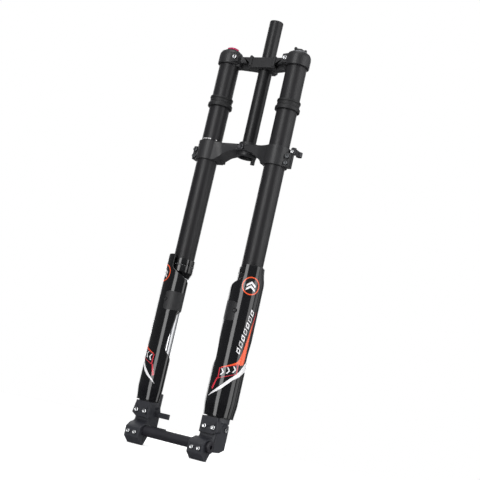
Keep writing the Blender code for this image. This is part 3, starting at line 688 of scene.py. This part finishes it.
def lower_parts():
    body = "lower_assembly"
    for side, sign in SIDES:
        profile = soften(tube(STANCHION_BORE, STANCHION_R, STANCHION_BOTTOM, STANCHION_TOP), 0.0005)
        bm = revolve(profile, leg(sign), FINE_ROUND)
        piece("stanchion_" + side + "_fine", bm, CHROME, body, "stanchion_chrome", "stanchion_" + side)
        guard(side, sign)
        decals(side, sign)
        guard_trim(side, sign)
        bevelled("dropout_" + side, CAST, body, "casting_black", 0.0007)
        for place, step in (("inner", -1), ("outer", 1)):
            cap_screw("boss_bolt_" + side + "_" + place, (sign * (BOSS_X + step * BOSS_HALF), *BOSS_SEAT),
                      (0.0045, 0.0036), (0.0024, 0.0085), ALONG_Y, STEEL, body, "bolt_steel")
            cap_screw("axle_clamp_bolt_" + side + "_" + place,
                      (sign * (BLOCK_X + step * BLOCK_HALF), *BLOCK_SEAT), (0.0040, 0.0034),
                      (0.0021, 0.0060), ALONG_Y, STEEL, body, "bolt_steel")
        foot = [(0, -0.5453), (0.0044, -0.5453), (0.0048, -0.5457), (0.0048, FOOT_SEAT), (0.0080, FOOT_SEAT),
                (0.0080, -0.5815), (0.0072, -0.5823), (0.0050, -0.5823), (0.0045, -0.5819, "hex"),
                (0.0045, -0.5780, "hex"), (0, -0.5776)]
        piece("foot_bolt_" + side + "_screw", revolve(foot, leg(sign), 48, closed=False), STEEL, body,
              "bolt_steel", "foot_bolt_" + side)
    cap_screw("caliper_bolt", CALIPER_SEAT, (0.0045, 0.0034), (0.0024, 0.0080), ALONG_X, STEEL,
              body, "bolt_steel")
    head = CALIPER_FACE + 0.0030
    profile = [(AXLE_R, CALIPER_FACE + CLEAR), (AXLE_R, -BLOCK_OUT + 0.0005), (AXLE_R - 0.0005, -BLOCK_OUT),
               (AXLE_BORE, -BLOCK_OUT), (AXLE_BORE, 0.0780), (0.0046, 0.0800, "hex"),
               (0.0046, head - 0.0004, "hex"), (0.0050, head), (0.0108, head), (0.0117, head - 0.0004),
               (0.0120, head - 0.0010), (0.0120, CALIPER_FACE + CLEAR)]
    piece("thru_axle_fine", revolve(profile, (0, AXLE_Y, AXLE_Z), ROUND, ALONG_X), AXLE, "thru_axle",
          "axle_black", "thru_axle")


INNER = {"oil_seal": RUBBER, "lower_bushing": BRONZE, "upper_bushing": BRONZE, "damper_cartridge": ALLOY,
         "damper_seal_head": BRONZE, "preload_spacer": ALLOY, "damper_rod": CHROME, "damper_piston": BRONZE,
         "spring_perch": ALLOY}


def inner_parts():
    """Nodes inside the legs keep their shape and take a detailed finish."""
    for name, item in NODES.items():
        for start, finish in INNER.items():
            if name.startswith(start):
                for slot in item.material_slots:
                    slot.material = finish


# ------------------------------------------------------------------- studio

def soft_box(name, bearing, height, distance, size, radiance):
    """An area light that faces the object. Bearing 0 is +X and 90 is the front."""
    light = bpy.data.lights.new(name, "AREA")
    light.shape = "RECTANGLE"
    light.size, light.size_y = size
    light.energy = radiance * math.pi * size[0] * size[1]
    item = bpy.data.objects.new(name, light)
    bpy.context.scene.collection.objects.link(item)
    turn = math.radians(bearing)
    item.location = (distance * math.cos(turn), -distance * math.sin(turn), height)
    aim = Vector((0, 0, -0.18)) - item.location
    item.rotation_euler = aim.to_track_quat("-Z", "Y").to_euler()


def studio():
    soft_box("key", 8, 0.25, 2.6, (1.2, 3.6), 2.2)
    soft_box("edge", -24, 0.25, 2.6, (1.1, 3.6), 1.0)
    soft_box("side", 92, 0.25, 2.6, (1.0, 3.6), 3.8)
    soft_box("rear_left", 212, 0.4, 2.6, (0.8, 3.0), 2.2)
    soft_box("rear", 262, 0.4, 2.6, (0.8, 3.0), 2.0)
    soft_box("rear_right", 312, 0.4, 2.6, (0.5, 3.0), 0.5)
    soft_box("top", 90, 2.4, 0.6, (1.4, 1.4), 2.2)
    world = bpy.data.worlds.new("studio")
    bpy.context.scene.world = world
    world.use_nodes = True
    tree = world.node_tree
    tree.nodes.clear()
    path = tree.nodes.new("ShaderNodeLightPath")
    room = tree.nodes.new("ShaderNodeBackground")
    room.inputs["Color"].default_value = (0.92, 0.93, 0.96, 1)
    coords = tree.nodes.new("ShaderNodeTexCoord")
    split = tree.nodes.new("ShaderNodeSeparateXYZ")
    tree.links.new(coords.outputs["Generated"], split.inputs["Vector"])
    rise = tree.nodes.new("ShaderNodeMapRange")
    rise.inputs["From Min"].default_value = -0.2
    rise.inputs["From Max"].default_value = 0.9
    rise.inputs["To Min"].default_value = 0.08
    rise.inputs["To Max"].default_value = 0.42
    tree.links.new(split.outputs["Z"], rise.inputs["Value"])
    tree.links.new(rise.outputs["Result"], room.inputs["Strength"])
    wall = tree.nodes.new("ShaderNodeBackground")
    wall.inputs["Color"].default_value = (1, 1, 1, 1)
    wall.inputs["Strength"].default_value = 1.0
    mix = tree.nodes.new("ShaderNodeMixShader")
    out = tree.nodes.new("ShaderNodeOutputWorld")
    tree.links.new(path.outputs["Is Camera Ray"], mix.inputs["Fac"])
    tree.links.new(room.outputs["Background"], mix.inputs[1])
    tree.links.new(wall.outputs["Background"], mix.inputs[2])
    tree.links.new(mix.outputs["Shader"], out.inputs["Surface"])
    paint = surface("pale_floor", (0.90, 0.90, 0.90), 0.7, grain=3.0, bump=0.0, vary=0.01)
    shader = paint.node_tree.nodes["Principled BSDF"]
    shader.inputs["Emission Color"].default_value = (1, 1, 1, 1)
    shader.inputs["Emission Strength"].default_value = 0.60
    shader.inputs["Specular IOR Level"].default_value = 0.0
    bm = bmesh.new()
    bmesh.ops.create_circle(bm, cap_ends=True, segments=96, radius=1.15)
    bmesh.ops.translate(bm, verts=bm.verts, vec=(0, 0, FLOOR_Z))
    mesh = bpy.data.meshes.new("floor")
    bm.to_mesh(mesh)
    bm.free()
    mesh.materials.append(paint)
    floor = bpy.data.objects.new("floor", mesh)
    bpy.context.scene.collection.objects.link(floor)
    floor.visible_glossy = False
    bpy.context.scene.view_settings.view_transform = "Standard"


def camera():
    azimuth = math.radians(30.43)
    elevation = math.radians(-9.59)
    roll = math.radians(12.93)
    distance = 1.94288
    target = Vector((0, 0, -0.20293))
    back = Vector((math.sin(azimuth) * math.cos(elevation), -math.cos(azimuth) * math.cos(elevation),
                   math.sin(elevation)))
    level = (-back).cross(Vector((0, 0, 1))).normalized()
    upright = level.cross(-back)
    right = level * math.cos(roll) + upright * math.sin(roll)
    up = upright * math.cos(roll) - level * math.sin(roll)
    data = bpy.data.cameras.new("camera")
    data.sensor_width = 36
    data.lens = 72.6
    data.shift_x = 0.0271
    item = bpy.data.objects.new("camera", data)
    bpy.context.scene.collection.objects.link(item)
    matrix = Matrix((right, up, back)).transposed().to_4x4()
    matrix.translation = target + back * distance
    item.matrix_world = matrix
    bpy.context.scene.camera = item


camera()
studio()
steerer_and_tubes()
bevelled("lower_crown", FORGED, "chassis", "crown_black", 0.0009)
bevelled("upper_crown", FORGED, "chassis", "crown_black", 0.0004)
bevelled("hose_guide", BLACK_STEEL, "chassis", "crown_black", 0.0004)
bevelled("compression_lever", LEVER, "compression_lever", "lever_black", 0.0003)
crown_screws()
caps()
main_spring()
tube_marks()
lower_parts()
inner_parts()
